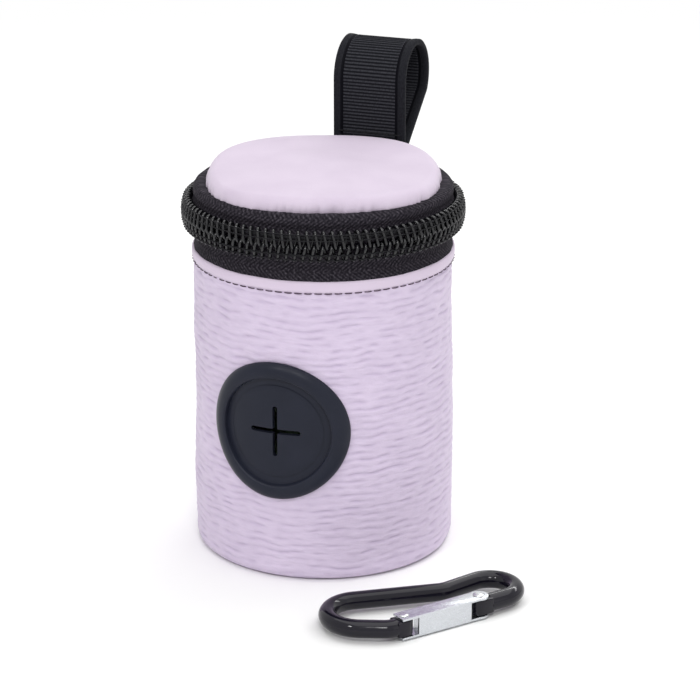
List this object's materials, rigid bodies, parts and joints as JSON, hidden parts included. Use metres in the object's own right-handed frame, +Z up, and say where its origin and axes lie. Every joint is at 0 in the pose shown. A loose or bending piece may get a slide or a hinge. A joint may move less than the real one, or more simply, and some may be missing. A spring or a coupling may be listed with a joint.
{
  "type": "dog waste bag dispenser pouch",
  "caption": "Round padded pouch with a zipped hinged lid, a rubber port with a cross slit, a webbing loop, a bag roll inside and a spring-gate carabiner beside it.",
  "frame": {"origin": "centre of the pouch's base, on the surface it stands on", "axes": "+Z up along the pouch's axis; the port faces -Y and the lid hinges at +Y"},
  "size_m": [0.0901, 0.1059, 0.1122],
  "materials": {
    "lilac_fabric": "satin textured knit",
    "lining_fabric": "matte",
    "foam": "matte",
    "port_rubber": "satin",
    "black_tape": "matte twill",
    "zip_coil": "gloss",
    "black_cord": "matte",
    "zip_metal": "gloss",
    "black_webbing": "matte ribbed",
    "bag_film": "satin",
    "cardboard": "matte",
    "black_bar": "gloss",
    "gate_steel": "satin",
    "rivet_steel": "satin",
    "spring_steel": "satin"
  },
  "bodies": {
    "pouch": {"outer_wall": "lilac_fabric", "wall_foam": "foam", "lining": "lining_fabric", "lining_floor": "lining_fabric", "base_panel": "lilac_fabric", "base_foam": "foam", "rim_band": "lilac_fabric", "port_grommet": "port_rubber", "lower_zip_tape": "black_tape", "lower_zip_coil": "zip_coil", "lower_core_cord": "black_cord", "upper_tape_ends": "black_tape", "upper_coil_ends": "zip_coil", "end_stops": "zip_metal", "hinge_panel_lower": "black_tape"},
    "lid": {"upper_zip_tape": "black_tape", "upper_zip_coil": "zip_coil", "upper_core_cord": "black_cord", "hinge_panel_upper": "black_tape", "lid_top": "lilac_fabric", "lid_foam": "foam", "lid_lining": "lining_fabric"},
    "loop": {"hang_loop": "black_webbing"},
    "slider": {"slider_body": "zip_metal"},
    "pull": {"pull_tab": "zip_metal"},
    "roll": {"bag_roll": "bag_film", "roll_core": "cardboard"},
    "carabiner": {"carabiner_frame": "black_bar", "gate_rivet": "rivet_steel"},
    "gate": {"carabiner_gate": "gate_steel", "latch_pin": "rivet_steel", "gate_spring": "spring_steel", "spring_plunger": "rivet_steel"}
  },
  "joints": [
    {"name": "lid_hinge", "type": "hinge", "parent": "pouch", "child": "lid", "pos_m": [0, 0.03105, 0.0807], "axis": [-1, 0, 0], "range_deg": [0, 105]},
    {"name": "loop_swing", "type": "hinge", "parent": "lid", "child": "loop", "pos_m": [0, 0.03175, 0.0884], "axis": [-1, 0, 0], "range_deg": [-45, 40], "stiffness_Nm_per_rad": 0.02},
    {"name": "slider_travel", "type": "hinge", "parent": "pouch", "child": "slider", "pos_m": [0, 0, 0.0807], "axis": [0, 0, 1], "range_deg": [0, 276]},
    {"name": "pull_swing", "type": "hinge", "parent": "slider", "child": "pull", "pos_m": [-0.02497, 0.02489, 0.0807], "axis": [-0.6691, 0.7431, 0], "range_deg": [-45, 45]},
    {"name": "roll_spin", "type": "hinge", "parent": "pouch", "child": "roll", "pos_m": [0, 0, 0.0036], "axis": [0, 0, 1], "continuous": true},
    {"name": "carabiner_lift", "type": "slide", "parent": "pouch", "child": "carabiner", "axis": [0, 0, 1], "range_m": [0, 0.08]},
    {"name": "gate_swing", "type": "hinge", "parent": "carabiner", "child": "gate", "pos_m": [0.0498, -0.03401, 0.00285], "axis": [0, 0, -1], "range_deg": [0, 28], "stiffness_Nm_per_rad": 0.02, "springref_deg": -17.19}
  ]
}
